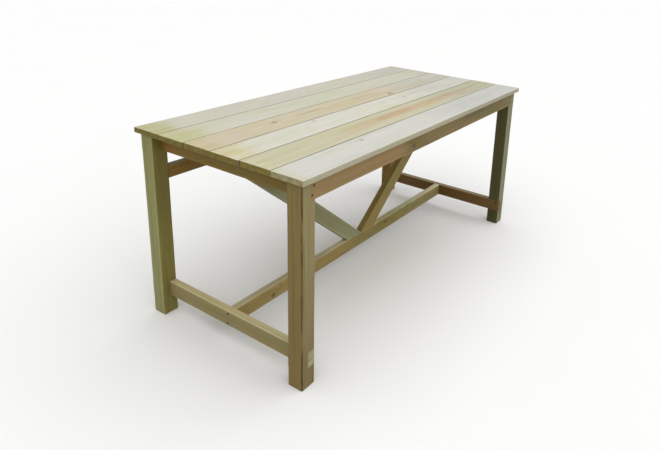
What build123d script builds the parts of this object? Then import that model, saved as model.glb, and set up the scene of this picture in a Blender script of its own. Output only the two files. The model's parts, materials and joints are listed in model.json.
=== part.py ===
from build123d import *
import math
import os

os.makedirs("parts", exist_ok=True)

# Millimetres. X along the table, Y across it, Z up, origin on the floor under the middle of the top.
LENGTH = 1650.0
WIDTH = 800.0
HEIGHT = 750.0

# Top boards
BOARDS = 6
BOARD_THICK = 20.0
BOARD_GAP = 2.2
BOARD_WIDE = (WIDTH - (BOARDS - 1) * BOARD_GAP) / BOARDS
LEFT_SET_BACK = (1.0, 0.0, 2.0, 0.5, 2.5, 1.0)
RIGHT_SET_BACK = (0.5, 2.0, 0.0, 1.5, 0.0, 1.0)

# Legs
LEG = 60.0
LEG_OUT_X = LENGTH / 2 - 15.0
LEG_OUT_Y = WIDTH / 2 - 18.0
LEG_IN_X = LEG_OUT_X - LEG
LEG_IN_Y = LEG_OUT_Y - LEG
TOP_UNDER = HEIGHT - BOARD_THICK
FOOT_CHAMFER = 3.0

# Aprons under the top
APRON_THICK = 20.0
APRON_DEEP = 66.0
APRON_LOW = TOP_UNDER - APRON_DEEP

# Low stretchers
STRETCHER_THICK = 30.0
STRETCHER_LOW = 74.0
STRETCHER_TOP = 132.0

# Sloping braces
BRACE_THICK = 30.0
BRACE_CONTACT = 3.0
BRACE_FOOT = 97.0
BRACE_HEAD_FLAT = 33.0

# Rail between the two back legs
BACK_RAIL_THICK = 30.0
BACK_RAIL_LOW = 550.0
BACK_RAIL_TOP = 598.0
BACK_RAIL_IN = LEG_IN_Y + 4.0

# Battens and cleats under the boards
BATTEN_WIDE = 44.0
BATTEN_DEEP = 28.0
BATTEN_SPACING = 375.0
CLEAT = 28.0

# Fasteners
SCREW_SINK = 0.8
SCREW_HEAD = 2.0
SMALL_SCREW = 4.0
BIG_SCREW = 5.0
DOWEL = 10.0
DOWEL_LONG = 50.0

ROUND = 2.0
SMALL_ROUND = 1.0
SIDES = (-1, 1)


def block(x0, x1, y0, y1, z0, z1):
    """A box between two corners, given in any order along each axis."""
    size = (abs(x1 - x0), abs(y1 - y0), abs(z1 - z0))
    middle = ((x0 + x1) / 2, (y0 + y1) / 2, (z0 + z1) / 2)
    return Pos(*middle) * Box(*size)


def eased(piece, axis, radius):
    """The piece with its edges along one axis rounded."""
    return fillet(piece.edges().filter_by(axis), radius)


def screw_profile(length, dia, entry):
    """A countersunk screw pointing down from z = 0; entry adds the head's hole above it."""
    shank = dia / 2
    head = shank * SCREW_HEAD
    cone = head - shank
    points = [
        (0, entry),
        (head, entry),
        (head, -0.5),
        (shank, -0.5 - cone),
        (shank, -length + dia),
        (0, -length),
    ]
    return revolve(Plane.XZ * make_face(Polyline(*points, close=True)), Axis.Z)


def placed(shape, spot, outward):
    """The shape with its own +Z turned to the outward direction, at a spot."""
    return Plane(origin=spot, z_dir=outward) * shape


def screw(spot, outward, length, dia):
    """A screw driven in at a spot on a face, its head a little below the surface."""
    inside = tuple(s - SCREW_SINK * o for s, o in zip(spot, outward))
    socket = Pos(0, 0, -dia * 0.25) * extrude(RegularPolygon(dia * 0.55, 6), dia * 0.25)
    return placed(screw_profile(length, dia, 0) - socket, inside, outward)


def screw_hole(spot, outward, length, dia):
    """The hole that a screw of the same size fits."""
    inside = tuple(s - SCREW_SINK * o for s, o in zip(spot, outward))
    return placed(screw_profile(length, dia, SCREW_SINK), inside, outward)


def drilled(piece, holes):
    """The piece without the holes that reach into it."""
    box = piece.bounding_box()
    for hole in holes:
        other = hole.bounding_box()
        apart_x = other.min.X > box.max.X or box.min.X > other.max.X
        apart_y = other.min.Y > box.max.Y or box.min.Y > other.max.Y
        apart_z = other.min.Z > box.max.Z or box.min.Z > other.max.Z
        if not (apart_x or apart_y or apart_z):
            piece = piece - hole
    return piece


def save(shape, node):
    """Writes one node's file."""
    shape.label = node
    export_step(shape, f"parts/{node}.step")


# ---- where the fasteners go: (spot on the face, outward direction, length, diameter)

apron_screws = []
end_apron_screws = []
end_stretcher_screws = []
centre_stretcher_screws = []
brace_foot_screws = []
brace_head_screws = []
cleat_side_screws = []
cleat_screws = []
batten_screws = []

BOARD_MIDDLES = [WIDTH / 2 - BOARD_WIDE / 2 - i * (BOARD_WIDE + BOARD_GAP) for i in range(BOARDS)]
APRON_IN_X = LEG_IN_X
APRON_OUT_X = LEG_IN_X + APRON_THICK
APRON_IN_Y = LEG_OUT_Y - APRON_THICK
CLEAT_IN = LEG_IN_X - CLEAT
CLEAT_MIDDLE = LEG_IN_X - CLEAT / 2
BATTENS = {"left": -BATTEN_SPACING, "middle": 0.0, "right": BATTEN_SPACING}

for sx in SIDES:
    for inset, below_top in ((14, 19), (6, 49)):
        for sy in SIDES:
            spot = (sx * (APRON_OUT_X - inset), sy * LEG_OUT_Y, TOP_UNDER - below_top)
            apron_screws.append((spot, (0, sy, 0), 45, SMALL_SCREW))
    for along, below_top in ((13, 34), (27, 59)):
        for sy in SIDES:
            spot = (sx * APRON_IN_X, sy * (LEG_IN_Y + along), TOP_UNDER - below_top)
            end_apron_screws.append((spot, (-sx, 0, 0), 40, SMALL_SCREW))
    for along, up in ((18, 16), (42, 42)):
        for sy in SIDES:
            spot = (sx * LEG_IN_X, sy * (LEG_IN_Y + along), STRETCHER_LOW + up)
            end_stretcher_screws.append((spot, (-sx, 0, 0), 50, BIG_SCREW))
    for across, up in ((-3, 47), (0, 9)):
        spot = (sx * (LEG_IN_X + STRETCHER_THICK), across, STRETCHER_LOW + up)
        centre_stretcher_screws.append((spot, (sx, 0, 0), 80, BIG_SCREW))
    spot = (sx * BRACE_FOOT * 0.57, 0, STRETCHER_LOW)
    brace_foot_screws.append((spot, (0, 0, -1), 90, BIG_SCREW))
    spot = (sx * (LEG_IN_X - 50), 0, TOP_UNDER - 30)
    brace_head_screws.append((spot, (-sx, 0, 0), 65, SMALL_SCREW))
    for sy in SIDES:
        for along in (130, 265):
            spot = (sx * CLEAT_IN, sy * along, TOP_UNDER - CLEAT / 2)
            cleat_side_screws.append((spot, (-sx, 0, 0), 42, SMALL_SCREW))
    for y in BOARD_MIDDLES:
        spot = (sx * CLEAT_MIDDLE, y, TOP_UNDER - CLEAT)
        cleat_screws.append((spot, (0, 0, -1), 40, SMALL_SCREW))
for x in BATTENS.values():
    for y in BOARD_MIDDLES:
        batten_screws.append(((x, y, TOP_UNDER - BATTEN_DEEP), (0, 0, -1), 40, SMALL_SCREW))

SCREW_GROUPS = {
    "apron_screws": apron_screws,
    "end_apron_screws": end_apron_screws,
    "end_stretcher_screws": end_stretcher_screws,
    "centre_stretcher_screws": centre_stretcher_screws,
    "brace_foot_screws": brace_foot_screws,
    "brace_head_screws": brace_head_screws,
    "cleat_side_screws": cleat_side_screws,
    "cleat_screws": cleat_screws,
    "batten_screws": batten_screws,
}

dowels = []
for sx in SIDES:
    for up in (12, 36):
        spot = (sx * LEG_IN_X, BACK_RAIL_IN + BACK_RAIL_THICK / 2, BACK_RAIL_LOW + up)
        dowels.append(Pos(*spot) * Rot(0, 90, 0) * Cylinder(DOWEL / 2, DOWEL_LONG))

HOLES = [screw_hole(*one) for group in SCREW_GROUPS.values() for one in group] + dowels


# ---- top boards, board 1 at the back

for i, y in enumerate(BOARD_MIDDLES):
    left = -LENGTH / 2 + LEFT_SET_BACK[i]
    right = LENGTH / 2 - RIGHT_SET_BACK[i]
    board = block(left, right, y - BOARD_WIDE / 2, y + BOARD_WIDE / 2, TOP_UNDER, HEIGHT)
    board = fillet(board.edges(), ROUND)
    save(drilled(board, HOLES), f"top_board_{i + 1}")


# ---- legs, with one housing for the two aprons and one for the end stretcher

for side_x, sx in (("left", -1), ("right", 1)):
    for side_y, sy in (("front", -1), ("back", 1)):
        leg = block(sx * LEG_IN_X, sx * LEG_OUT_X, sy * LEG_IN_Y, sy * LEG_OUT_Y, 0, TOP_UNDER)
        leg = chamfer(leg.faces().sort_by(Axis.Z)[0].edges(), FOOT_CHAMFER)
        leg = eased(leg, Axis.Z, ROUND)
        wide = (sy * (LEG_IN_Y - 1), sy * (LEG_OUT_Y + 1))
        leg -= block(sx * (LEG_IN_X - 1), sx * APRON_OUT_X, *wide, APRON_LOW, TOP_UNDER + 1)
        housed = LEG_IN_X + STRETCHER_THICK
        leg -= block(sx * (LEG_IN_X - 1), sx * housed, *wide, STRETCHER_LOW, STRETCHER_TOP)
        save(drilled(leg, HOLES), f"leg_{side_y}_{side_x}")


# ---- aprons

for side, sy in (("front", -1), ("back", 1)):
    reach = (-APRON_OUT_X, APRON_OUT_X)
    apron = block(*reach, sy * APRON_IN_Y, sy * LEG_OUT_Y, APRON_LOW, TOP_UNDER)
    save(drilled(eased(apron, Axis.X, SMALL_ROUND), HOLES), f"{side}_apron")

for side, sx in (("left", -1), ("right", 1)):
    reach = (-APRON_IN_Y, APRON_IN_Y)
    apron = block(sx * APRON_IN_X, sx * APRON_OUT_X, *reach, APRON_LOW, TOP_UNDER)
    save(drilled(eased(apron, Axis.Y, SMALL_ROUND), HOLES), f"end_apron_{side}")


# ---- low stretchers

for side, sx in (("left", -1), ("right", 1)):
    across = (sx * LEG_IN_X, sx * (LEG_IN_X + STRETCHER_THICK))
    rail = block(*across, -LEG_OUT_Y, LEG_OUT_Y, STRETCHER_LOW, STRETCHER_TOP)
    save(drilled(eased(rail, Axis.Y, ROUND), HOLES), f"end_stretcher_{side}")

half = STRETCHER_THICK / 2
rail = block(-LEG_IN_X, LEG_IN_X, -half, half, STRETCHER_LOW, STRETCHER_TOP)
save(drilled(eased(rail, Axis.X, ROUND), HOLES), "centre_stretcher")


# ---- sloping braces: flat on the stretcher, plumb against the end apron, flat under the boards

upper_start = (0, STRETCHER_TOP + BRACE_CONTACT)
upper_end = (LEG_IN_X - BRACE_HEAD_FLAT, TOP_UNDER)
rise = (upper_end[1] - upper_start[1]) / (upper_end[0] - upper_start[0])
lower_end = (LEG_IN_X, STRETCHER_TOP + rise * (LEG_IN_X - BRACE_FOOT))
counterbore = LEG_IN_X - 50

for side, sx in (("left", -1), ("right", 1)):
    outline = [
        (0, STRETCHER_TOP),
        upper_start,
        upper_end,
        (LEG_IN_X, TOP_UNDER),
        lower_end,
        (BRACE_FOOT, STRETCHER_TOP),
    ]
    outline = [(sx * x, z) for x, z in outline]
    face = make_face(Polyline(*outline, close=True))
    brace = extrude(Plane.XZ * face, BRACE_THICK / 2, both=True)
    slope = Axis((0, 0, 0), (sx, 0, rise))
    brace = fillet(brace.edges().filter_by(slope), SMALL_ROUND)
    pocket = Pos(sx * (counterbore - 20), 0, TOP_UNDER - 30) * Rot(0, 90, 0)
    brace -= pocket * Cylinder(SMALL_SCREW * SCREW_HEAD / 2, 40)
    save(drilled(brace, HOLES), f"brace_{side}")


# ---- rail between the two back legs

rail = block(
    -LEG_IN_X,
    LEG_IN_X,
    BACK_RAIL_IN,
    BACK_RAIL_IN + BACK_RAIL_THICK,
    BACK_RAIL_LOW,
    BACK_RAIL_TOP,
)
save(drilled(eased(rail, Axis.X, ROUND), HOLES), "back_rail")


# ---- battens and cleats under the boards

for side, x in BATTENS.items():
    across = (x - BATTEN_WIDE / 2, x + BATTEN_WIDE / 2)
    batten = block(*across, -APRON_IN_Y, APRON_IN_Y, TOP_UNDER - BATTEN_DEEP, TOP_UNDER)
    save(drilled(eased(batten, Axis.Y, SMALL_ROUND), HOLES), f"cross_batten_{side}")

for side_x, sx in (("left", -1), ("right", 1)):
    for side_y, sy in (("front", -1), ("back", 1)):
        reach = (sy * BRACE_THICK / 2, sy * APRON_IN_Y)
        cleat = block(sx * CLEAT_IN, sx * LEG_IN_X, *reach, TOP_UNDER - CLEAT, TOP_UNDER)
        cleat = eased(cleat, Axis.Y, SMALL_ROUND)
        save(drilled(cleat, HOLES), f"cleat_{side_y}_{side_x}")


# ---- fasteners, each group in one file as separate solids

for node, group in SCREW_GROUPS.items():
    save(Compound(children=[screw(*one) for one in group]), node)

save(Compound(children=dowels), "back_rail_dowels")
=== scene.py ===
import json
import math

import bmesh
import bpy
from mathutils import Matrix, Vector, noise

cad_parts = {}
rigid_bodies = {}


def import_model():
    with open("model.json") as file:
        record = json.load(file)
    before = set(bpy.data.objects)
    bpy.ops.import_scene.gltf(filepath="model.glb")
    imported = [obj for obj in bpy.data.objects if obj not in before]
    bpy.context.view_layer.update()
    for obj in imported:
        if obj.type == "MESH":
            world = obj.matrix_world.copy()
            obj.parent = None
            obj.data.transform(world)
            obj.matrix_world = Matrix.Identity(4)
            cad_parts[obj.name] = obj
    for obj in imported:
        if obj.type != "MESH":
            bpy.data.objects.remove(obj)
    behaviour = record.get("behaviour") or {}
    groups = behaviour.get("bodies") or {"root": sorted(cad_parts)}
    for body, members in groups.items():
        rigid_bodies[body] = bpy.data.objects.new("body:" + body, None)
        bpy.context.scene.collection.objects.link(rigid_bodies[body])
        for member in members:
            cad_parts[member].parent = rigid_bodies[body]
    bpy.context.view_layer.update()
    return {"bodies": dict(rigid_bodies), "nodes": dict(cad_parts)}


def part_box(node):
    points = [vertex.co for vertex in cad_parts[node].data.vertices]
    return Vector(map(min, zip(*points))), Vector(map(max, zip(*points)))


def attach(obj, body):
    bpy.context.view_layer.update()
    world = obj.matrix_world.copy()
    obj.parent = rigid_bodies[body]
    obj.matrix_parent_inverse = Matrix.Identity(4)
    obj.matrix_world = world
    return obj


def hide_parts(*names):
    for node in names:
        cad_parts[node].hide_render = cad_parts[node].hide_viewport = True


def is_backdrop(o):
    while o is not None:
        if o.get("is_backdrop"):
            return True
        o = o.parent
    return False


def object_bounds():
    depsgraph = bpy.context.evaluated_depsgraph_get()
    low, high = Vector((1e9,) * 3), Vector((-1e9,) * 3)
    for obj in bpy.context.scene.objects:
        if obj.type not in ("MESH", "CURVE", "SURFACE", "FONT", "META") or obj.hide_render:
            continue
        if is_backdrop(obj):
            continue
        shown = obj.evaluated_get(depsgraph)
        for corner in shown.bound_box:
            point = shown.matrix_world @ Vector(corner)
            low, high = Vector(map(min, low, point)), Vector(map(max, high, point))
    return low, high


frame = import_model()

# Metres, in the frame's axes. "Grain space" is a piece's own space: x along the grain, v across, w through.
BODY = next(iter(frame["bodies"]))
NODES = frame["nodes"]

# Sizes that a node's box doesn't give, as in part.py
EASE = 0.002
APRON_THICK = 0.020
APRON_DEEP = 0.066
STRETCHER_THICK = 0.030
BRACE_FOOT = 0.097
BRACE_HEAD_FLAT = 0.033
BRACE_CONTACT = 0.003
# Screws that lie at the bottom of a pocket, and how far it runs out from their heads
POCKETS = {"brace_head_screws": 0.040}
SCREW_NODES = [name for name in NODES if name.endswith("_screws")]

# Mesh density of a timber
STATION = 0.014
SIDE_STEP = 0.011
ARC_STEPS = 3

# The mouth of a screw hole: how far it is sunk below the head's top and rises above it, in metres, and how
# much wider than the head it is at the bottom and at the top
MOUTH_SUNK = 0.0016
MOUTH_RISE = 0.0028
MOUTH_FIT = 1.02
MOUTH_FLARE = 1.22
MOUTH_SEGMENTS = 20

# Edges sharper than this stay sharp in the shading
SHARP_ANGLE = math.radians(40)

# The first seed of each kind of timber
BOARD_SEED = 11
LEG_SEED = 31
RAIL_SEED = 51
BRACE_SEED = 71
HIDDEN_SEED = 81
DOWEL_SEED = 97

# Drying cracks: the length of one step of a cutter, how much wider it is where it stands proud of the wood
# than its width, and how far it stands proud
CRACK_STEP = 0.018
CRACK_FLARE = 1.25
CRACK_PROUD = 0.0008

# How the grain runs: the turn from grain space to the frame
ALONG_X = Matrix.Identity(3)
ALONG_Y = Matrix.Rotation(math.radians(90), 3, "Z")
ALONG_Z = Matrix.Rotation(math.radians(-90), 3, "Y")

# Directions in the frame
UP, DOWN, LEFT, RIGHT, FRONT, BACK = (0, 0, 1), (0, 0, -1), (-1, 0, 0), (1, 0, 0), (0, -1, 0), (0, 1, 0)

# What the treatment's stain and the heartwood do to the colour, in soft blotches
GREEN_CAST = (0.93, 0.965, 0.82)
PINK_CAST = (1.0, 0.95, 0.90)

# Cells per metre of the wood's noises: along the grain, across it and through it
DRIFT_CELLS = (1.6, 7, 7)
WOBBLE_CELLS = (9, 45, 45)
FIBRE_CELLS = (14, 620, 620)
STREAK_CELLS = (1.4, 85, 85)
PATCH_CELLS = (1.9, 10, 10)
CAST_CELLS = (3.2, 15, 15)
CLOUD_CELLS = (5, 26, 26)
RUB_CELLS = (18, 60, 60)
WANE_CELLS = (7, 40, 40)
STAIN_CELLS = (80, 48, 80)

# From where to where a face counts as turned towards a direction, as the cosine of the angle between them
FACING = (0.45, 0.85)

# How far a patch fades out on each side of where it begins and ends, along the grain
PATCH_SOFT = 0.12


def rgb(code):
    """A linear colour from an sRGB hex code."""
    parts = [int(code[i : i + 2], 16) / 255 for i in (0, 2, 4)]
    return tuple(p / 12.92 if p <= 0.04045 else ((p + 0.055) / 1.055) ** 2.4 for p in parts)


# ---------------------------------------------------------------- shader graphs


class Graph:
    """Short calls for building a node tree."""

    def __init__(self, tree):
        self.tree = tree

    def node(self, kind, **settings):
        made = self.tree.nodes.new(kind)
        for key, value in settings.items():
            setattr(made, key, value)
        return made

    def feed(self, socket, value):
        if isinstance(value, bpy.types.NodeSocket):
            self.tree.links.new(value, socket)
        elif socket.type == "RGBA":
            socket.default_value = (*value[:3], 1)
        else:
            socket.default_value = value

    def math(self, operation, *values, clamp=False):
        made = self.node("ShaderNodeMath", operation=operation, use_clamp=clamp)
        for socket, value in zip(made.inputs, values):
            self.feed(socket, value)
        return made.outputs[0]

    def total(self, *values):
        result = values[0]
        for value in values[1:]:
            result = self.math("ADD", result, value)
        return result

    def product(self, *values):
        result = values[0]
        for value in values[1:]:
            result = self.math("MULTIPLY", result, value)
        return result

    def vector(self, operation, *values):
        made = self.node("ShaderNodeVectorMath", operation=operation)
        for socket, value in zip(made.inputs, values):
            self.feed(socket, value)
        return made.outputs["Value" if operation in ("LENGTH", "DOT_PRODUCT") else "Vector"]

    def mix(self, amount, first, second):
        made = self.node("ShaderNodeMix", data_type="RGBA")
        self.feed(made.inputs[0], amount)
        self.feed(made.inputs[6], first)
        self.feed(made.inputs[7], second)
        return made.outputs[2]

    def smooth(self, value, low, high, start=0.0, end=1.0):
        made = self.node("ShaderNodeMapRange", interpolation_type="SMOOTHSTEP")
        for socket, one in zip(made.inputs, (value, low, high, start, end)):
            self.feed(socket, one)
        return made.outputs[0]

    def noise(self, at, stretch, detail=2.0, rough=0.5):
        """Noise of about 0 to 1; stretch gives its cells per metre along each axis."""
        made = self.node("ShaderNodeTexNoise", noise_dimensions="3D")
        self.feed(made.inputs["Vector"], self.vector("MULTIPLY", at, stretch))
        made.inputs["Scale"].default_value = 1.0
        made.inputs["Detail"].default_value = detail
        made.inputs["Roughness"].default_value = rough
        return made.outputs[0]

    def length(self, first, second):
        """The length of a flat vector."""
        squares = [self.math("POWER", value, 2.0) for value in (first, second)]
        return self.math("SQRT", self.total(*squares))

    def largest(self, values):
        """The largest of some values, or None if there are none."""
        result = None
        for value in values:
            result = value if result is None else self.math("MAXIMUM", result, value)
        return result

    def grey(self, value):
        made = self.node("ShaderNodeCombineColor")
        for socket in made.inputs[:3]:
            self.feed(socket, value)
        return made.outputs[0]

    def split(self, at):
        made = self.node("ShaderNodeSeparateXYZ")
        self.feed(made.inputs[0], at)
        return made.outputs

    def attribute(self, name):
        return self.node("ShaderNodeAttribute", attribute_name=name).outputs["Fac"]


def material(name):
    """A new material, its graph and its surface shader."""
    mat = bpy.data.materials.new(name)
    mat.use_nodes = True
    return mat, Graph(mat.node_tree), mat.node_tree.nodes["Principled BSDF"]


class Look:
    """One timber's colours and growth.

    knots: (along, across, radius, "w" or "v": the axis that the knot runs along)
    washes: soft patches of another colour, (x from, x to, v from, v to, softness, colour, strength)
    faces: painted light and shade, the timber's colour on one side as the light falls on it, (outward
    direction, colour)
    patches: painted light and shade on a stretch of one side, (outward direction, x from, x to, factors on
    the colour)
    wane: a strip of darker outer wood along one corner, (v, w, colour, strength)
    A colour is a hex code, or a tuple of factors on the timber's colour.
    """

    def __init__(self, early, late, tint, ring=0.0042, contrast=0.5, pith=(0.02, -0.06), tinted=0.5,
                 streak=0.5, end="7a7042", knots=(), knot_dark=0.8, washes=(), faces=(), patches=(),
                 rub=0.5, wane=None):
        self.early = rgb(early)
        self.late = rgb(late)
        self.tint = rgb(tint)
        self.ring = ring
        self.contrast = contrast
        self.pith = pith
        self.tinted = tinted
        self.streak = streak
        self.end = self.against_early(end)
        self.knots = knots
        self.knot_dark = knot_dark
        self.washes = washes
        self.patches = patches
        self.rub = rub
        self.wane = wane
        # The colours of whole sides, which are painted light and shade
        self.faces = [(direction, self.against_early(code)) for direction, code in faces]

    def against_early(self, code):
        """What turns the early wood into a colour when it is multiplied by it; a tuple is that already."""
        if isinstance(code, tuple):
            return code
        return tuple(c / e for c, e in zip(rgb(code), self.early))

    def darker_late(self, factor):
        return tuple(c * factor for c in self.late)


class Grain:
    """A timber's grain space in its shader, and the two noises that bend what grows in it."""

    def __init__(self, g, centre, turn, seed):
        place = g.node("ShaderNodeTexCoord").outputs["Object"]
        mapping = g.node("ShaderNodeMapping", vector_type="POINT")
        g.feed(mapping.inputs["Vector"], g.vector("SUBTRACT", place, tuple(centre)))
        mapping.inputs["Rotation"].default_value = turn.transposed().to_euler()
        at = mapping.outputs[0]
        self.x, self.v, self.w = g.split(at)
        self.shifted = g.vector("ADD", at, (seed * 3.71, seed * 1.37, seed * 2.13))
        self.drift = g.math("SUBTRACT", g.noise(self.shifted, DRIFT_CELLS, 2), 0.5)
        self.wobble = g.math("SUBTRACT", g.noise(self.shifted, WOBBLE_CELLS, 2), 0.5)


def knot_field(g, grain, knot):
    """How far a point is from a knot, in knot radii."""
    along, across, radius, axis = knot
    side = grain.v if axis == "w" else grain.w
    dx = g.math("DIVIDE", g.math("SUBTRACT", grain.x, along), radius * 1.35)
    dv = g.math("DIVIDE", g.math("SUBTRACT", side, across), radius)
    return g.math("ADD", g.length(dx, dv), g.math("MULTIPLY", grain.wobble, 0.5))


def wash_mask(g, grain, wash):
    """The soft-edged patch of a wash."""
    x0, x1, v0, v1, soft = wash[:5]
    x = g.math("ADD", grain.x, g.math("MULTIPLY", grain.drift, soft * 1.6))
    v = g.math("ADD", grain.v, g.math("MULTIPLY", grain.drift, 0.03))
    edge = min(soft, (v1 - v0) * 0.45)
    sides = [
        g.smooth(x, x0, x0 + soft),
        g.smooth(x, x1 - soft, x1, 1.0, 0.0),
        g.smooth(v, v0, v0 + edge),
        g.smooth(v, v1 - edge, v1, 1.0, 0.0),
    ]
    return g.product(*sides)


def wane_mask(g, grain, wane):
    """The strip along one corner of the section, broken up along the grain."""
    dv = g.math("SUBTRACT", grain.v, wane[0])
    dw = g.math("SUBTRACT", grain.w, wane[1])
    far = g.math("ADD", g.length(dv, dw), g.math("MULTIPLY", grain.wobble, 0.006))
    broken = g.smooth(g.noise(grain.shifted, WANE_CELLS, 3, 0.6), 0.34, 0.5, 0.25, 1.0)
    return g.product(g.smooth(far, 0.0026, 0.0066, 1.0, 0.0), broken, wane[3])


def growth(g, grain, look):
    """The distance from the pith, which the knots push out, and the masks of the knots' cores and rims."""
    pith_v = g.total(grain.v, -look.pith[0], g.math("MULTIPLY", grain.drift, 0.055))
    pith_w = g.total(grain.w, -look.pith[1], g.math("MULTIPLY", grain.drift, 0.030))
    reach = g.math("ADD", g.length(pith_v, pith_w), g.math("MULTIPLY", grain.wobble, 0.0022))
    cores = []
    rims = []
    for knot in look.knots:
        far = knot_field(g, grain, knot)
        bulge = g.math("EXPONENT", g.math("MULTIPLY", g.math("POWER", far, 2.0), -0.22))
        reach = g.math("ADD", reach, g.math("MULTIPLY", bulge, knot[2] * 1.1))
        cores.append(g.smooth(far, 0.70, 1.05, 1.0, 0.0))
        rims.append(g.product(g.smooth(far, 0.6, 0.95), g.smooth(far, 0.95, 1.6, 1.0, 0.0)))
    return reach, g.largest(cores), g.largest(rims)


def late_wood(g, reach, look):
    """The dark part of each growth ring, stronger in some years than in others."""
    phase = g.math("DIVIDE", reach, look.ring)
    across = g.math("FRACT", phase)
    uneven = g.node("ShaderNodeTexWhiteNoise", noise_dimensions="1D")
    g.feed(uneven.inputs["W"], g.math("FLOOR", phase))
    late = g.product(g.smooth(across, 0.35, 0.88), g.smooth(across, 0.9, 1.0, 1.0, 0.0))
    return g.product(late, g.smooth(uneven.outputs[0], 0.0, 1.0, 0.45, 1.0))


def grown_colour(g, grain, look, late, fibre, streak):
    """Rings, tint, casts, streaks, washes and fibre."""
    patch = g.noise(grain.shifted, PATCH_CELLS, 2)
    colour = g.mix(g.math("MULTIPLY", late, look.contrast), look.early, look.late)
    tinting = g.math("MULTIPLY", g.smooth(patch, 0.38, 0.66), look.tinted)
    colour = g.mix(tinting, colour, look.tint)
    cast = g.noise(grain.shifted, CAST_CELLS, 3, 0.55)
    pink = g.smooth(cast, 0.42, 0.30, 0.0, 0.55)
    colour = g.mix(pink, colour, g.vector("MULTIPLY", colour, PINK_CAST))
    green = g.smooth(cast, 0.55, 0.68, 0.0, 0.65)
    colour = g.mix(green, colour, g.vector("MULTIPLY", colour, GREEN_CAST))
    streaks = g.math("MULTIPLY", g.smooth(streak, 0.45, 0.75), look.streak)
    colour = g.mix(streaks, colour, look.late)
    cloudy = g.smooth(g.noise(grain.shifted, CLOUD_CELLS, 3, 0.6), 0.3, 0.62, 0.55, 1.0)
    for wash in look.washes:
        amount = g.product(wash_mask(g, grain, wash), cloudy, wash[6])
        colour = g.mix(amount, colour, g.vector("MULTIPLY", colour, look.against_early(wash[5])))
    return g.vector("MULTIPLY", colour, g.grey(g.smooth(fibre, 0.35, 0.7, 0.93, 1.04)))


def worn_colour(g, grain, look, colour):
    """Rubbed edges and the wane."""
    rough_rub = g.smooth(g.noise(grain.shifted, RUB_CELLS, 2), 0.3, 0.7, 0.25, 0.8)
    rub = g.math("MULTIPLY", g.attribute("worn"), rough_rub)
    pale = tuple(min(1, c * 1.25) for c in look.early)
    colour = g.mix(g.math("MULTIPLY", rub, look.rub), colour, pale)
    if look.wane is not None:
        colour = g.mix(wane_mask(g, grain, look.wane), colour, rgb(look.wane[2]))
    return colour


def sided_colour(g, grain, look, turn, colour):
    """Painted light and shade that differ from side to side, on whole faces and on stretches of them, and the
    end grain.
    """
    normal = g.node("ShaderNodeNewGeometry").outputs["Normal"]
    # Painted light and shade on whole sides
    for direction, factor in look.faces:
        facing = g.smooth(g.vector("DOT_PRODUCT", normal, direction), *FACING)
        colour = g.mix(facing, colour, g.vector("MULTIPLY", colour, factor))
    # Painted light and shade on stretches of sides
    for direction, x0, x1, factor in look.patches:
        facing = g.smooth(g.vector("DOT_PRODUCT", normal, direction), *FACING)
        begins = g.smooth(grain.x, x0 - PATCH_SOFT, x0 + PATCH_SOFT)
        ends = g.smooth(grain.x, x1 - PATCH_SOFT, x1 + PATCH_SOFT, 1.0, 0.0)
        amount = g.math("MULTIPLY", facing, g.product(begins, ends))
        colour = g.mix(amount, colour, g.vector("MULTIPLY", colour, factor))
    grain_way = tuple(turn @ Vector((1, 0, 0)))
    end = g.smooth(g.math("ABSOLUTE", g.vector("DOT_PRODUCT", normal, grain_way)), 0.6, 0.9)
    stains = g.grey(g.smooth(g.noise(grain.shifted, STAIN_CELLS, 4, 0.65), 0.32, 0.68, 0.78, 1.22))
    end_colour = g.vector("MULTIPLY", g.vector("MULTIPLY", colour, look.end), stains)
    return g.mix(end, colour, end_colour)


def add_bump(g, shader, height, strength, distance):
    bump = g.node("ShaderNodeBump")
    bump.inputs["Strength"].default_value = strength
    bump.inputs["Distance"].default_value = distance
    g.feed(bump.inputs["Height"], height)
    g.feed(shader.inputs["Normal"], bump.outputs[0])


def wood(name, centre, turn, look, seed):
    """Softwood: rings round a pith, knots that the rings flow round, fibre, stains, end grain, worn edges,
    and painted light and shade on its sides.
    """
    mat, g, shader = material(name)
    grain = Grain(g, centre, turn, seed)
    reach, knot, knot_rim = growth(g, grain, look)
    late = late_wood(g, reach, look)
    fibre = g.noise(grain.shifted, FIBRE_CELLS, 3, 0.6)
    streak = g.noise(grain.shifted, STREAK_CELLS, 3, 0.6)
    height = [g.math("MULTIPLY", late, 0.5), g.math("MULTIPLY", fibre, 0.6), g.math("MULTIPLY", streak, 0.2)]
    height = g.total(*height)

    colour = grown_colour(g, grain, look, late, fibre, streak)
    if knot is not None:
        rim_amount = g.math("MULTIPLY", knot_rim, 0.6 * look.knot_dark)
        colour = g.mix(rim_amount, colour, look.darker_late(0.42))
        colour = g.mix(g.math("MULTIPLY", knot, look.knot_dark), colour, look.darker_late(0.5))
        height = g.math("SUBTRACT", height, g.math("MULTIPLY", knot_rim, 0.8))
    colour = worn_colour(g, grain, look, colour)
    colour = sided_colour(g, grain, look, turn, colour)

    g.feed(shader.inputs["Base Color"], colour)
    rough = g.total(0.62, g.math("MULTIPLY", late, -0.08), g.math("MULTIPLY", fibre, 0.12))
    g.feed(shader.inputs["Roughness"], rough)
    shader.inputs["Specular IOR Level"].default_value = 0.3
    add_bump(g, shader, height, 0.55, 0.0005)
    return mat


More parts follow.
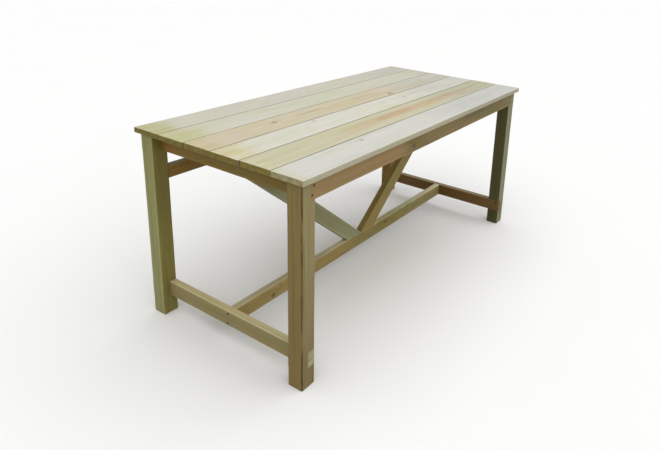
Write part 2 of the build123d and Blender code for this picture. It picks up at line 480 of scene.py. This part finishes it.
def steel(name):
    """Dulled zinc-plated steel with rust freckles."""
    mat, g, shader = material(name)
    place = g.node("ShaderNodeTexCoord").outputs["Object"]
    freckle = g.noise(place, (900, 900, 900), 4, 0.6)
    grime = g.noise(place, (260, 260, 260), 2)
    colour = g.mix(g.smooth(grime, 0.35, 0.7), rgb("4a463f"), rgb("2b2825"))
    colour = g.mix(g.math("MULTIPLY", g.smooth(freckle, 0.55, 0.7), 0.7), colour, rgb("4c2c19"))
    g.feed(shader.inputs["Base Color"], colour)
    shader.inputs["Metallic"].default_value = 0.85
    g.feed(shader.inputs["Roughness"], g.smooth(freckle, 0.3, 0.7, 0.38, 0.7))
    add_bump(g, shader, freckle, 0.4, 0.0002)
    return mat


def floor_material():
    """A plain pale floor, very slightly mottled."""
    mat, g, shader = material("pale_floor")
    place = g.node("ShaderNodeTexCoord").outputs["Object"]
    mottle = g.noise(place, (1.5, 1.5, 1.5), 3)
    colour = g.mix(mottle, (0.82, 0.82, 0.815), (0.84, 0.84, 0.835))
    g.feed(shader.inputs["Base Color"], colour)
    g.feed(shader.inputs["Roughness"], g.smooth(mottle, 0.2, 0.8, 0.8, 0.9))
    shader.inputs["Specular IOR Level"].default_value = 0.15
    return mat


# ---------------------------------------------------------------- timber meshes


class Timber:
    """The mesh of one sawn and planed piece, in grain space."""

    def __init__(self, size, seed, ease=EASE, end_ease=EASE, wave=0.00025, bow=0.0, cup=0.0, notches=(),
                 wane=None):
        self.size = size
        self.seed = seed
        self.ease = ease
        self.end_ease = end_ease
        self.wave = wave
        self.bow = bow
        self.cup = cup
        self.notches = notches
        self.wane = wane

    def stations(self):
        """Places along the grain, each with the inset of its rounded end."""
        half = self.size[0] / 2
        turns = [math.radians(a) for a in (0, 30, 60)]
        ends = [(self.end_ease * (1 - math.sin(a)), self.end_ease * (1 - math.cos(a))) for a in turns]
        inner = half - self.end_ease
        count = max(2, round(2 * inner / STATION))
        places = [(-half + inset_x, inset) for inset, inset_x in ends]
        places += [(-inner + 2 * inner * i / count, 0.0) for i in range(count + 1)]
        places += [(half - inset_x, inset) for inset, inset_x in reversed(ends)]
        for x0, x1, _, _ in self.notches:
            places += [(x, 0.0) for x in (x0, x1) if abs(x) < half]
        return sorted(set(places))

    def bounds_at(self, x, after):
        """The section's bounds (v0, v1, w0, w1) just after or just before x, and whether it is notched."""
        v, w = self.size[1] / 2, self.size[2] / 2
        bounds = [-v, v, -w, w]
        notched = False
        for x0, x1, side, level in self.notches:
            inside = x0 - 1e-6 <= x < x1 - 1e-6 if after else x0 + 1e-6 < x <= x1 + 1e-6
            if inside:
                bounds[side] = level
                notched = True
        return bounds, notched

    def ring(self, x, inset, bounds, notched):
        """Points round the section at x, as (point, worn)."""
        v0, v1, w0, w1 = bounds
        v0, v1, w0, w1 = v0 + inset, v1 - inset, w0 + inset, w1 - inset
        corners = [(v1, w1, 0), (v0, w1, 90), (v0, w0, 180), (v1, w0, 270)]
        spans = [self.size[1], self.size[2]]
        points = []
        for k, (cv, cw, start) in enumerate(corners):
            rub = noise.noise(Vector((x * 9 + self.seed, k * 7.3, self.seed)))
            radius = self.ease * (1 + 0.45 * rub) * (0.3 if notched else 1.0)
            if k == self.wane and not notched:
                radius += 0.0022 * max(0, 0.55 + noise.noise(Vector((x * 5, self.seed, 3))))
            sv = 1 if cv == v1 else -1
            sw = 1 if cw == w1 else -1
            mv, mw = cv - sv * radius, cw - sw * radius
            for i in range(ARC_STEPS + 1):
                a = math.radians(start + 90 * i / ARC_STEPS)
                points.append(((mv + radius * math.cos(a), mw + radius * math.sin(a)), 1.0))
            nv, nw, _ = corners[(k + 1) % 4]
            last = points[-1][0]
            ev = nv - (1 if nv == v1 else -1) * self.ease if k % 2 == 0 else last[0]
            ew = nw - (1 if nw == w1 else -1) * self.ease if k % 2 == 1 else last[1]
            steps = max(2, round(spans[k % 2] / SIDE_STEP))
            for i in range(1, steps):
                t = i / steps
                points.append(((last[0] + (ev - last[0]) * t, last[1] + (ew - last[1]) * t), 0.0))
        return points

    def moved(self, x, v, w):
        """A point with the piece's bow, cup and uneven planing."""
        half = self.size[0] / 2
        at = Vector((x * 4 + self.seed * 5, v * 22, w * 22 + self.seed))
        fine = Vector((x * 22, v * 75 + self.seed, w * 75))
        dv = self.wave * (noise.noise(at) + 0.4 * noise.noise(fine))
        dw = self.wave * (noise.noise(at + Vector((31, 0, 0))) + 0.4 * noise.noise(fine + Vector((0, 17, 0))))
        dw += self.bow * (1 - (x / half) ** 2) + self.cup * (2 * v / self.size[1]) ** 2
        return (x, v + dv, w + dw)

    def mesh(self, name, turn, centre):
        bm = bmesh.new()
        worn_layer = bm.verts.layers.float.new("worn")
        rings = []
        for x, inset in self.stations():
            before, notched_before = self.bounds_at(x, False)
            after, notched_after = self.bounds_at(x, True)
            sections = [(before, notched_before)]
            if before != after and abs(x) < self.size[0] / 2 - 1e-6:
                sections.append((after, notched_after))
            elif before != after and x < 0:
                sections = [(after, notched_after)]
            for bounds, notched in sections:
                row = []
                for (v, w), worn in self.ring(x, inset, bounds, notched):
                    vert = bm.verts.new(turn @ Vector(self.moved(x, v, w)) + centre)
                    vert[worn_layer] = max(worn, 1.0 if inset > 0 else 0.0)
                    row.append(vert)
                rings.append(row)
        for first, second in zip(rings, rings[1:]):
            count = len(first)
            for i in range(count):
                j = (i + 1) % count
                bm.faces.new((first[i], first[j], second[j], second[i]))
        bm.faces.new(list(reversed(rings[0])))
        bm.faces.new(rings[-1])
        mesh = bpy.data.meshes.new(name)
        bm.normal_update()
        bmesh.ops.recalc_face_normals(bm, faces=bm.faces)
        bm.to_mesh(mesh)
        bm.free()
        return mesh


def trim(mesh, planes):
    """Cuts off what lies beyond each plane (point, outward normal) and closes the cut."""
    bm = bmesh.new()
    bm.from_mesh(mesh)
    for spot, normal in planes:
        geometry = bm.verts[:] + bm.edges[:] + bm.faces[:]
        bmesh.ops.bisect_plane(bm, geom=geometry, plane_co=spot, plane_no=normal, clear_outer=True)
        open_edges = [e for e in bm.edges if e.is_boundary]
        bmesh.ops.contextual_create(bm, geom=open_edges)
    bmesh.ops.recalc_face_normals(bm, faces=bm.faces)
    bm.to_mesh(mesh)
    bm.free()


# ---------------------------------------------------------------- fasteners


def islands(node):
    """The points of each separate solid in a CAD node."""
    bm = bmesh.new()
    bm.from_mesh(NODES[node].data)
    bmesh.ops.remove_doubles(bm, verts=bm.verts, dist=1e-6)
    left = set(bm.verts)
    groups = []
    while left:
        stack = [left.pop()]
        group = []
        while stack:
            vert = stack.pop()
            group.append(vert.co.copy())
            for edge in vert.link_edges:
                other = edge.other_vert(vert)
                if other in left:
                    left.remove(other)
                    stack.append(other)
        groups.append(group)
    bm.free()
    return groups


def off_axis(point, middle, axis):
    """How far a point is from the line through middle along an axis."""
    return math.sqrt(sum((point[i] - middle[i]) ** 2 for i in range(3) if i != axis))


def screw_heads():
    """Each CAD screw's head as (centre of its top, outward direction, radius, length of its pocket)."""
    heads = []
    for node in SCREW_NODES:
        for points in islands(node):
            low = Vector([min(p[i] for p in points) for i in range(3)])
            high = Vector([max(p[i] for p in points) for i in range(3)])
            axis = max(range(3), key=lambda i: high[i] - low[i])
            middle = (low + high) / 2
            radius = max((high[i] - low[i]) / 2 for i in range(3) if i != axis)
            rim = [p[axis] for p in points if off_axis(p, middle, axis) > radius * 0.95]
            outward = 1 if sum(rim) / len(rim) > middle[axis] else -1
            top = middle.copy()
            top[axis] = high[axis] if outward > 0 else low[axis]
            direction = Vector([outward if i == axis else 0 for i in range(3)])
            heads.append((top, direction, radius, POCKETS.get(node, 0)))
    return heads


HEADS = screw_heads()


def add_crack(bm, size, turn, centre, crack, seed):
    """A drying crack's cutter: a thin wedge that wanders along the grain, sunk into one side.

    crack: (x from, x to, side, place across it, width, depth), the side 0 for -v, 1 +v, 2 -w and 3 +w
    """
    x0, x1, side, place, width, depth = crack
    axis = 1 + side // 2
    out = 1 if side % 2 else -1
    rows = []
    count = max(8, round((x1 - x0) / CRACK_STEP))
    for i in range(count + 1):
        x = x0 + (x1 - x0) * i / count
        swell = math.sin(math.pi * (0.02 + 0.96 * i / count))
        wander = 0.004 * noise.noise(Vector((x * 5, seed, side)))
        wander += 0.0007 * noise.noise(Vector((x * 55, seed, 0)))
        half = width / 2 * swell ** 0.6 * (1 + 0.35 * noise.noise(Vector((x * 40, 5, seed))))
        lips = half * CRACK_FLARE
        row = []
        for across, sunk in ((-lips, -CRACK_PROUD), (lips, -CRACK_PROUD), (0, depth * swell ** 0.5)):
            point = [x, 0, 0]
            point[3 - axis] = place + wander + across
            point[axis] = out * (size[axis] / 2 - sunk)
            row.append(bm.verts.new(turn @ Vector(point) + centre))
        rows.append(row)
    made = [bm.faces.new(rows[0]), bm.faces.new(rows[-1])]
    for first, second in zip(rows, rows[1:]):
        for i in range(3):
            j = (i + 1) % 3
            made.append(bm.faces.new((first[i], first[j], second[j], second[i])))
    bmesh.ops.recalc_face_normals(bm, faces=made)


def add_mouth(bm, top, direction, radius, pocket):
    """The cutter of a screw's countersunk mouth, or of the straight pocket that it lies in."""
    rise = max(MOUTH_RISE, pocket)
    flare = MOUTH_FIT if pocket else MOUTH_FLARE
    turn = direction.to_track_quat("Z", "Y").to_matrix().to_4x4()
    place = Matrix.Translation(top + direction * (rise - MOUTH_SUNK) / 2) @ turn
    bmesh.ops.create_cone(bm, cap_ends=True, segments=MOUTH_SEGMENTS, radius1=radius * MOUTH_FIT,
                          radius2=radius * flare, depth=rise + MOUTH_SUNK, matrix=place)


def cutter_object(obj, cracks):
    """One object of all that is to be cut from a piece, or None if nothing is."""
    low = [min(v.co[i] for v in obj.data.vertices) for i in range(3)]
    high = [max(v.co[i] for v in obj.data.vertices) for i in range(3)]
    bm = bmesh.new()
    for crack in cracks:
        add_crack(bm, *crack)
    for head in HEADS:
        inside = head[0] - head[1] * 0.001
        if all(low[i] - 1e-4 < inside[i] < high[i] + 1e-4 for i in range(3)):
            add_mouth(bm, *head)
    if not bm.verts:
        bm.free()
        return None
    mesh = bpy.data.meshes.new("cutter")
    bm.to_mesh(mesh)
    bm.free()
    cutter = bpy.data.objects.new("cutter", mesh)
    bpy.context.scene.collection.objects.link(cutter)
    return cutter


def carve(obj, cracks):
    """Cuts the screw mouths and pockets that open on this piece, and its drying cracks."""
    cutter = cutter_object(obj, cracks)
    if cutter is None:
        return
    cut = obj.modifiers.new("cuts", "BOOLEAN")
    cut.operation = "DIFFERENCE"
    cut.solver = "EXACT"
    cut.object = cutter
    graph = bpy.context.evaluated_depsgraph_get()
    made = bpy.data.meshes.new_from_object(obj.evaluated_get(graph))
    if not made.vertices:
        raise RuntimeError(f"the cuts ate {obj.name}")
    obj.modifiers.clear()
    obj.data = made
    bpy.data.objects.remove(cutter)


# ---------------------------------------------------------------- the pieces


def finish_piece(node, mesh, centre, turn, look, seed, cracks=()):
    """Makes the object, its material and its place in the frame."""
    obj = bpy.data.objects.new(f"{node}_wood", mesh)
    bpy.context.scene.collection.objects.link(obj)
    carve(obj, cracks)
    obj.data.materials.clear()
    obj.data.materials.append(wood(f"{node}_wood", centre, turn, look, seed))
    obj.data.shade_smooth()
    obj.data.set_sharp_from_angle(angle=SHARP_ANGLE)
    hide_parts(node)
    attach(obj, BODY)
    return obj


def plank(node, turn, look, slot, seed, cracks=(), **shape):
    """A straight piece that fills its node's box, with its grain along one axis; cracks as in add_crack."""
    low, high = (Vector(corner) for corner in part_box(node))
    centre = (low + high) / 2
    size = [abs(s) for s in turn.transposed() @ (high - low)]
    timber = Timber(size, seed, **shape)
    cutters = [(size, turn, centre, crack, seed + 0.7 * i) for i, crack in enumerate(cracks)]
    return finish_piece(node, timber.mesh(node, turn, centre), centre, turn, look, seed, cutters)


def brace(node, away, look, seed):
    """A sloping piece from the middle of the centre stretcher; away is 1 to the right and -1 to the left."""
    low, high = (Vector(corner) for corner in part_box(node))
    reach = high[0] - low[0]
    start = Vector((0, 0, low[2] + BRACE_CONTACT))
    head = Vector((away * (reach - BRACE_HEAD_FLAT), 0, high[2]))
    slope = math.atan2(head.z - start.z, abs(head.x))
    wide = (BRACE_FOOT + BRACE_CONTACT / math.tan(slope)) * math.sin(slope)
    turn = Matrix.Rotation(-slope if away > 0 else slope - math.pi, 3, "Y")
    across = Vector((away * math.sin(slope), 0, -math.cos(slope)))
    centre = (start + head) / 2 + across * wide / 2
    long = (head - start).length + 4 * wide
    timber = Timber([long, high[1] - low[1], wide], seed, ease=0.0015, end_ease=0.001)
    mesh = timber.mesh(node, turn, centre)
    trim(mesh, [(low, DOWN), (high, UP), (low, LEFT), (high, RIGHT)])
    return finish_piece(node, mesh, centre, turn, look, seed)


# Top boards, board 1 at the back
# The boards' sides are painted darker than their tops: painted shade on the seam walls between boards, on the
# outer edges and on the undersides
SEAM_SHADE = "645f49"
EDGE_SHADE = "a09b84"
UNDERSIDE_SHADE = "ac9d78"
INNER_SIDES = [(FRONT, SEAM_SHADE), (BACK, SEAM_SHADE), (DOWN, UNDERSIDE_SHADE)]
BACK_SIDES = [(FRONT, SEAM_SHADE), (BACK, EDGE_SHADE), (DOWN, UNDERSIDE_SHADE)]
FRONT_SIDES = [(FRONT, EDGE_SHADE), (BACK, SEAM_SHADE), (DOWN, UNDERSIDE_SHADE)]
BOARD_END = "726527"
DIM_END = (0.86, 0.87, 0.90)
BOARD_LOOKS = [
    Look("c3c0b5", "afa795", "c0bfa5", contrast=0.35, pith=(0.03, -0.05), tinted=0.35, streak=0.3,
         end=BOARD_END, faces=BACK_SIDES, rub=0.1,
         washes=[(-0.90, -0.70, -0.2, 0.2, 0.07, "afac70", 0.75),
                 (0.30, 1.40, -0.2, 0.2, 0.4, DIM_END, 0.8)]),
    Look("c5c3b4", "afaa93", "bbbe9b", contrast=0.35, pith=(-0.05, -0.07), tinted=0.5, streak=0.35,
         end=BOARD_END, faces=INNER_SIDES, rub=0.1,
         washes=[(-0.94, -0.66, -0.2, 0.2, 0.12, "b8b27c", 0.7),
                 (0.45, 1.40, -0.2, 0.2, 0.4, DIM_END, 0.5)]),
    Look("c6bda5", "a89878", "bfb491", contrast=0.5, pith=(0.01, -0.055), tinted=0.5, streak=0.45,
         end=BOARD_END, faces=INNER_SIDES, knots=[(-0.46, 0.01, 0.009, "w"), (0.25, -0.045, 0.011, "w")],
         knot_dark=0.6, rub=0.1,
         washes=[(-0.90, -0.72, -0.2, 0.2, 0.06, "bcb282", 0.5),
                 (0.20, 1.40, -0.2, 0.2, 0.35, (0.90, 1.0, 1.27), 1.0)]),
    Look("cfcdc1", "b8b29f", "c4c5af", contrast=0.3, pith=(-0.02, -0.09), tinted=0.35, streak=0.3,
         end=BOARD_END, faces=INNER_SIDES, knots=[(-0.34, 0.045, 0.008, "w"), (0.24, 0.0, 0.009, "w")],
         knot_dark=0.3, rub=0.1,
         washes=[(-0.92, -0.68, -0.2, 0.2, 0.10, "c8bd91", 0.9),
                 (0.10, 1.40, -0.2, 0.2, 0.5, DIM_END, 1.0)]),
    Look("c4c0a6", "a89c7a", "b9b995", contrast=0.45, pith=(0.0, -0.05), tinted=0.5, streak=0.45,
         end=BOARD_END, faces=INNER_SIDES, rub=0.1,
         washes=[(-0.55, 0.70, -0.045, 0.042, 0.35, "c29e7f", 0.75),
                 (0.05, 1.40, -0.2, 0.2, 0.5, (0.82, 0.85, 0.88), 1.0),
                 (-0.92, -0.76, -0.2, 0.2, 0.06, "cbc5a3", 0.5)]),
    Look("cbcac3", "b5aea1", "c5c5b9", contrast=0.3, pith=(0.04, -0.08), tinted=0.3, streak=0.3,
         end="928b66", faces=FRONT_SIDES, knots=[(-0.41, 0.035, 0.007, "w"), (-0.435, 0.041, 0.004, "w")],
         knot_dark=0.55, rub=0.2,
         washes=[(-0.05, 1.10, -0.2, 0.2, 0.4, DIM_END, 1.0),
                 (0.76, 0.88, -0.2, 0.2, 0.05, "c5c5ad", 0.5),
                 (-0.86, -0.77, -0.2, 0.2, 0.05, "c7c19f", 0.6)]),
]
BOARD_CRACKS = [
    [(-0.86, -0.71, 3, -0.030, 0.0010, 0.004)],
    [(0.70, 0.86, 3, 0.018, 0.0009, 0.004)],
    [],
    [(-0.86, -0.76, 3, 0.006, 0.0009, 0.004), (-0.20, -0.06, 3, 0.050, 0.0008, 0.003)],
    [(0.74, 0.86, 3, -0.030, 0.0010, 0.004)],
    [(-0.86, -0.79, 3, 0.030, 0.0008, 0.003)],
]
BOARD_BOWS = [0.00020, 0.00025, 0.00040, 0.00015, -0.00010, -0.00025]
for i, (look, cracks, bow) in enumerate(zip(BOARD_LOOKS, BOARD_CRACKS, BOARD_BOWS)):
    plank(f"top_board_{i + 1}", ALONG_X, look, "board_wood", BOARD_SEED + i, cracks, ease=0.0022,
          end_ease=0.0025, bow=bow, cup=-0.0002)

# Legs: one housing for the aprons and one for the end stretcher, on the inner side
# Each leg's faces and patches are painted light and shade: sides turned from the light darker, some stretches
# of a side lighter or darker
LEG_LOOKS = {
    "front_left": Look("80744d", "5c502f", "78754e", contrast=0.4, pith=(-0.01, 0.012), tinted=0.4,
                       faces=[(LEFT, "7e6a39"), (RIGHT, "695e32"), (BACK, "695e32")], rub=0.3,
                       washes=[(-0.40, 0.12, -0.1, 0.1, 0.35, (0.86, 0.88, 0.82), 1.0)],
                       patches=[(FRONT, -0.6, -0.2, (0.84, 0.80, 0.66)),
                                (FRONT, 0.08, 0.6, (1.09, 1.08, 1.07))],
                       wane=(-0.030, 0.030, "4b3a17", 0.95)),
    "back_left": Look("8d8a59", "676235", "848458", contrast=0.35, pith=(0.05, 0.02), streak=0.4,
                      faces=[(FRONT, "7b7136"), (RIGHT, "7b7136")],
                      washes=[(-0.05, 0.9, -0.1, 0.1, 0.3, (0.93, 0.89, 0.76), 1.0)],
                      patches=[(FRONT, 0.0, 0.9, (0.80, 0.80, 0.72))]),
    "front_right": Look("777456", "574f34", "73795a", contrast=0.4, pith=(0.02, 0.05),
                        faces=[(LEFT, "4b4623"), (BACK, "5c5732")],
                        washes=[(-0.37, -0.27, -0.1, 0.1, 0.06, "555134", 0.7)]),
    "back_right": Look("6f6243", "4d4228", "696441", contrast=0.4, pith=(-0.04, 0.03),
                       knots=[(0.12, -0.006, 0.008, "w"), (-0.10, 0.004, 0.007, "v")],
                       faces=[(LEFT, "6d5329"), (FRONT, "715c2d")],
                       patches=[(LEFT, -0.25, 0.2, (1.28, 1.22, 0.76)),
                                (FRONT, -0.25, 0.2, (1.25, 1.2, 0.8))]),
}
LEG_CRACKS = {
    "front_left": [(-0.22, 0.24, 0, 0.0215, 0.0016, 0.006), (-0.08, 0.20, 3, 0.004, 0.0008, 0.004)],
    "back_left": [(-0.20, 0.12, 3, 0.006, 0.0010, 0.004)],
    "front_right": [(-0.21, 0.06, 2, -0.008, 0.0012, 0.005)],
    "back_right": [(-0.10, 0.26, 1, 0.005, 0.0012, 0.005), (-0.21, -0.03, 2, 0.008, 0.0009, 0.004)],
}
stretcher_low, stretcher_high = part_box("end_stretcher_left")
for i, (place, look) in enumerate(LEG_LOOKS.items()):
    low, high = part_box(f"leg_{place}")
    middle_z = (low[2] + high[2]) / 2
    side = 1 if place.endswith("right") else -1
    half = (high[0] - low[0]) / 2
    bound = 3 if side > 0 else 2
    notches = [
        (stretcher_low[2] - middle_z, stretcher_high[2] - middle_z, bound, side * (half - STRETCHER_THICK)),
        (high[2] - APRON_DEEP - middle_z, high[2] - middle_z + 0.01, bound, side * (half - APRON_THICK)),
    ]
    plank(f"leg_{place}", ALONG_Z, look, "leg_wood", LEG_SEED + i, LEG_CRACKS[place], ease=0.0024,
          end_ease=0.003, notches=notches, wane=1 if place == "front_left" else None)

# Aprons and stretchers
# The rails' faces and patches are painted light and shade: lighter tops and some outer faces, darker
# undersides and inner faces, and lit and shaded stretches of the centre stretcher
RAIL_LOOKS = {
    "front_apron": (ALONG_X, Look("8c7246", "695534", "827548", pith=(0.01, 0.03), tinted=0.4,
                                  knots=[(-0.182, -0.007, 0.008, "v")],
                                  washes=[(-0.30, 0.9, -0.1, 0.1, 0.12, "746339", 1.0),
                                          (-0.25, -0.08, -0.1, 0.1, 0.05, (0.92, 0.94, 0.72), 0.9),
                                          (0.10, 0.9, -0.1, 0.1, 0.3, (0.82, 0.90, 0.84), 1.0)],
                                  faces=[(DOWN, "645532"), (BACK, "75643b")])),
    "back_apron": (ALONG_X, Look("887247", "655330", "7d754a", pith=(0.01, 0.03),
                                 knots=[(0.36, 0.006, 0.009, "v"), (-0.47, -0.012, 0.006, "v")],
                                 faces=[(DOWN, "645532"), (FRONT, "6e5d36")])),
    "end_apron_left": (ALONG_Y, Look("755f1d", "594518", "69601d", pith=(0.01, 0.03), tinted=0.5,
                                     washes=[(0.05, 0.5, -0.1, 0.1, 0.25, "876428", 0.9)],
                                     faces=[(DOWN, "655125")])),
    "end_apron_right": (ALONG_Y, Look("846d3f", "614d2c", "786d41", pith=(0.01, 0.03), tinted=0.5,
                                      knots=[(-0.12, 0.004, 0.008, "v")],
                                      faces=[(DOWN, "645532")])),
    "end_stretcher_left": (ALONG_Y, Look("8c7e52", "695c36", "827c54", contrast=0.45, pith=(0.04, 0.03),
                                         end="8f8861", faces=[(UP, "c0b287"), (DOWN, "6e6239")])),
    "end_stretcher_right": (ALONG_Y, Look("694a20", "4d3616", "65552a", contrast=0.45, pith=(0.04, 0.03),
                                          end="644727", faces=[(UP, "968463"), (RIGHT, "866d43")],
                                          washes=[(0.30, 1.0, -0.1, 0.1, 0.05, (1.6, 1.5, 0.75), 1.0)])),
    "centre_stretcher": (ALONG_X, Look("917c47", "6c5a2b", "877c47", pith=(0.03, 0.02),
                                       knots=[(-0.566, -0.010, 0.0065, "v"), (0.205, 0.009, 0.007, "v"),
                                              (0.47, -0.003, 0.004, "v")],
                                       patches=[(UP, -1.0, -0.22, (0.66, 0.68, 0.66)),
                                                (FRONT, 0.45, 1.0, (1.14, 1.17, 1.35))],
                                       faces=[(UP, "d8caa6"), (DOWN, "6e6239")],
                                       washes=[(-0.25, 0.9, -0.1, 0.1, 0.3, "7c7241", 1.0),
                                               (0.10, 0.34, -0.1, 0.1, 0.08, (0.86, 0.88, 0.68), 1.0)])),
    "back_rail": (ALONG_X, Look("7e5d21", "594217", "73622c", pith=(0.03, 0.02),
                                knots=[(0.21, 0.003, 0.007, "v")],
                                faces=[(UP, "a69f77"), (BACK, "917b4a")])),
}
for i, (node, (turn, look)) in enumerate(RAIL_LOOKS.items()):
    plank(node, turn, look, "rail_wood", RAIL_SEED + i, ease=0.0018, end_ease=0.001)

# Braces
# The left brace's patches are painted shade: a darker stretch of its front and a darker underside
BRACE_LOOKS = {
    "left": Look("8e8c69", "62603e", "7d8564", contrast=0.4, pith=(0.03, 0.04), tinted=0.6,
                 washes=[(0.10, 0.9, -0.1, 0.1, 0.22, "82734a", 1.0),
                         (-0.36, 0.14, -0.1, 0.1, 0.2, "877d55", 0.7)],
                 patches=[(FRONT, 0.24, 1.0, (0.76, 0.70, 0.56)), (DOWN, -1.0, 1.0, (0.84, 0.80, 0.68))]),
    "right": Look("8d7841", "655629", "847840", contrast=0.4, pith=(0.02, 0.05), tinted=0.5,
                  knots=[(0.22, 0.014, 0.006, "v")]),
}
for i, (side, look) in enumerate(BRACE_LOOKS.items()):
    brace(f"brace_{side}", 1 if side == "right" else -1, look, BRACE_SEED + i)

# Battens and cleats
HIDDEN = Look("998557", "6e5b37", "888357", contrast=0.5, pith=(0.02, 0.02), tinted=0.5)
for i, node in enumerate(sorted(n for n in NODES if n.startswith(("cross_batten", "cleat_"))
                                and not n.endswith("screws"))):
    plank(node, ALONG_Y, HIDDEN, "hidden_wood", HIDDEN_SEED + i, ease=0.001, end_ease=0.0006, wave=0.0004)

# Carried-over CAD fasteners
screw_steel = steel("screw_steel")
for node in SCREW_NODES:
    NODES[node].data.materials.clear()
    NODES[node].data.materials.append(screw_steel)
DOWEL = Look("c9ad7a", "a5854f", "bfa472", ring=0.002, contrast=0.4, pith=(0.0, 0.012))
dowel_low, dowel_high = (Vector(corner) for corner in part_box("back_rail_dowels"))
NODES["back_rail_dowels"].data.materials.clear()
NODES["back_rail_dowels"].data.materials.append(
    wood("dowel_wood", (dowel_low + dowel_high) / 2, ALONG_X, DOWEL, DOWEL_SEED))


# ---------------------------------------------------------------- studio


def add_floor():
    bpy.ops.mesh.primitive_circle_add(vertices=96, radius=40, fill_type="NGON")
    floor = bpy.context.object
    floor.name = "floor"
    floor.data.materials.append(floor_material())
    floor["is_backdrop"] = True


def add_world(seen, strength):
    """Even light from all round; the camera sees plain white behind the floor."""
    world = bpy.data.worlds.new("studio")
    bpy.context.scene.world = world
    world.use_nodes = True
    g = Graph(world.node_tree)
    background = world.node_tree.nodes["Background"]
    background.inputs["Color"].default_value = (1, 1, 1, 1)
    seen_by_camera = g.node("ShaderNodeLightPath").outputs["Is Camera Ray"]
    g.feed(background.inputs["Strength"], g.smooth(seen_by_camera, 0, 1, strength, seen))


def add_sun(name, toward, strength, spread):
    """A very soft light from one side; spread is the width of its disc in degrees."""
    data = bpy.data.lights.new(name, "SUN")
    data.energy = strength
    data.angle = math.radians(spread)
    light = bpy.data.objects.new(name, data)
    light.rotation_mode = "QUATERNION"
    light.rotation_quaternion = Vector(toward).to_track_quat("-Z", "Y")
    bpy.context.scene.collection.objects.link(light)


def add_camera(spot, yaw, pitch, roll, lens, shift):
    """The camera at the photograph's viewing angle; yaw turns from +X towards +Y."""
    forward = Vector((math.cos(pitch) * math.cos(yaw), math.cos(pitch) * math.sin(yaw), math.sin(pitch)))
    flat_right = Vector((math.sin(yaw), -math.cos(yaw), 0))
    flat_up = flat_right.cross(forward)
    right = math.cos(roll) * flat_right + math.sin(roll) * flat_up
    up = math.cos(roll) * flat_up - math.sin(roll) * flat_right
    data = bpy.data.cameras.new("camera")
    data.sensor_width = 36.0
    data.lens = lens
    data.shift_x, data.shift_y = shift
    camera = bpy.data.objects.new("camera", data)
    turn = Matrix((right, up, -forward)).transposed().to_4x4()
    camera.matrix_world = Matrix.Translation(spot) @ turn
    bpy.context.scene.collection.objects.link(camera)
    bpy.context.scene.camera = camera


bpy.context.scene.view_settings.view_transform = "Standard"
add_floor()
add_world(seen=1.0, strength=0.46)
add_sun("softbox", (0.05, 0.42, -1.0), 2.55, 110)
add_camera((-1.9872, -1.4448, 1.3889), yaw=0.5554, pitch=-0.2882, roll=0.0512, lens=31.606,
           shift=(-0.1095, -0.1515))

low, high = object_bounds()
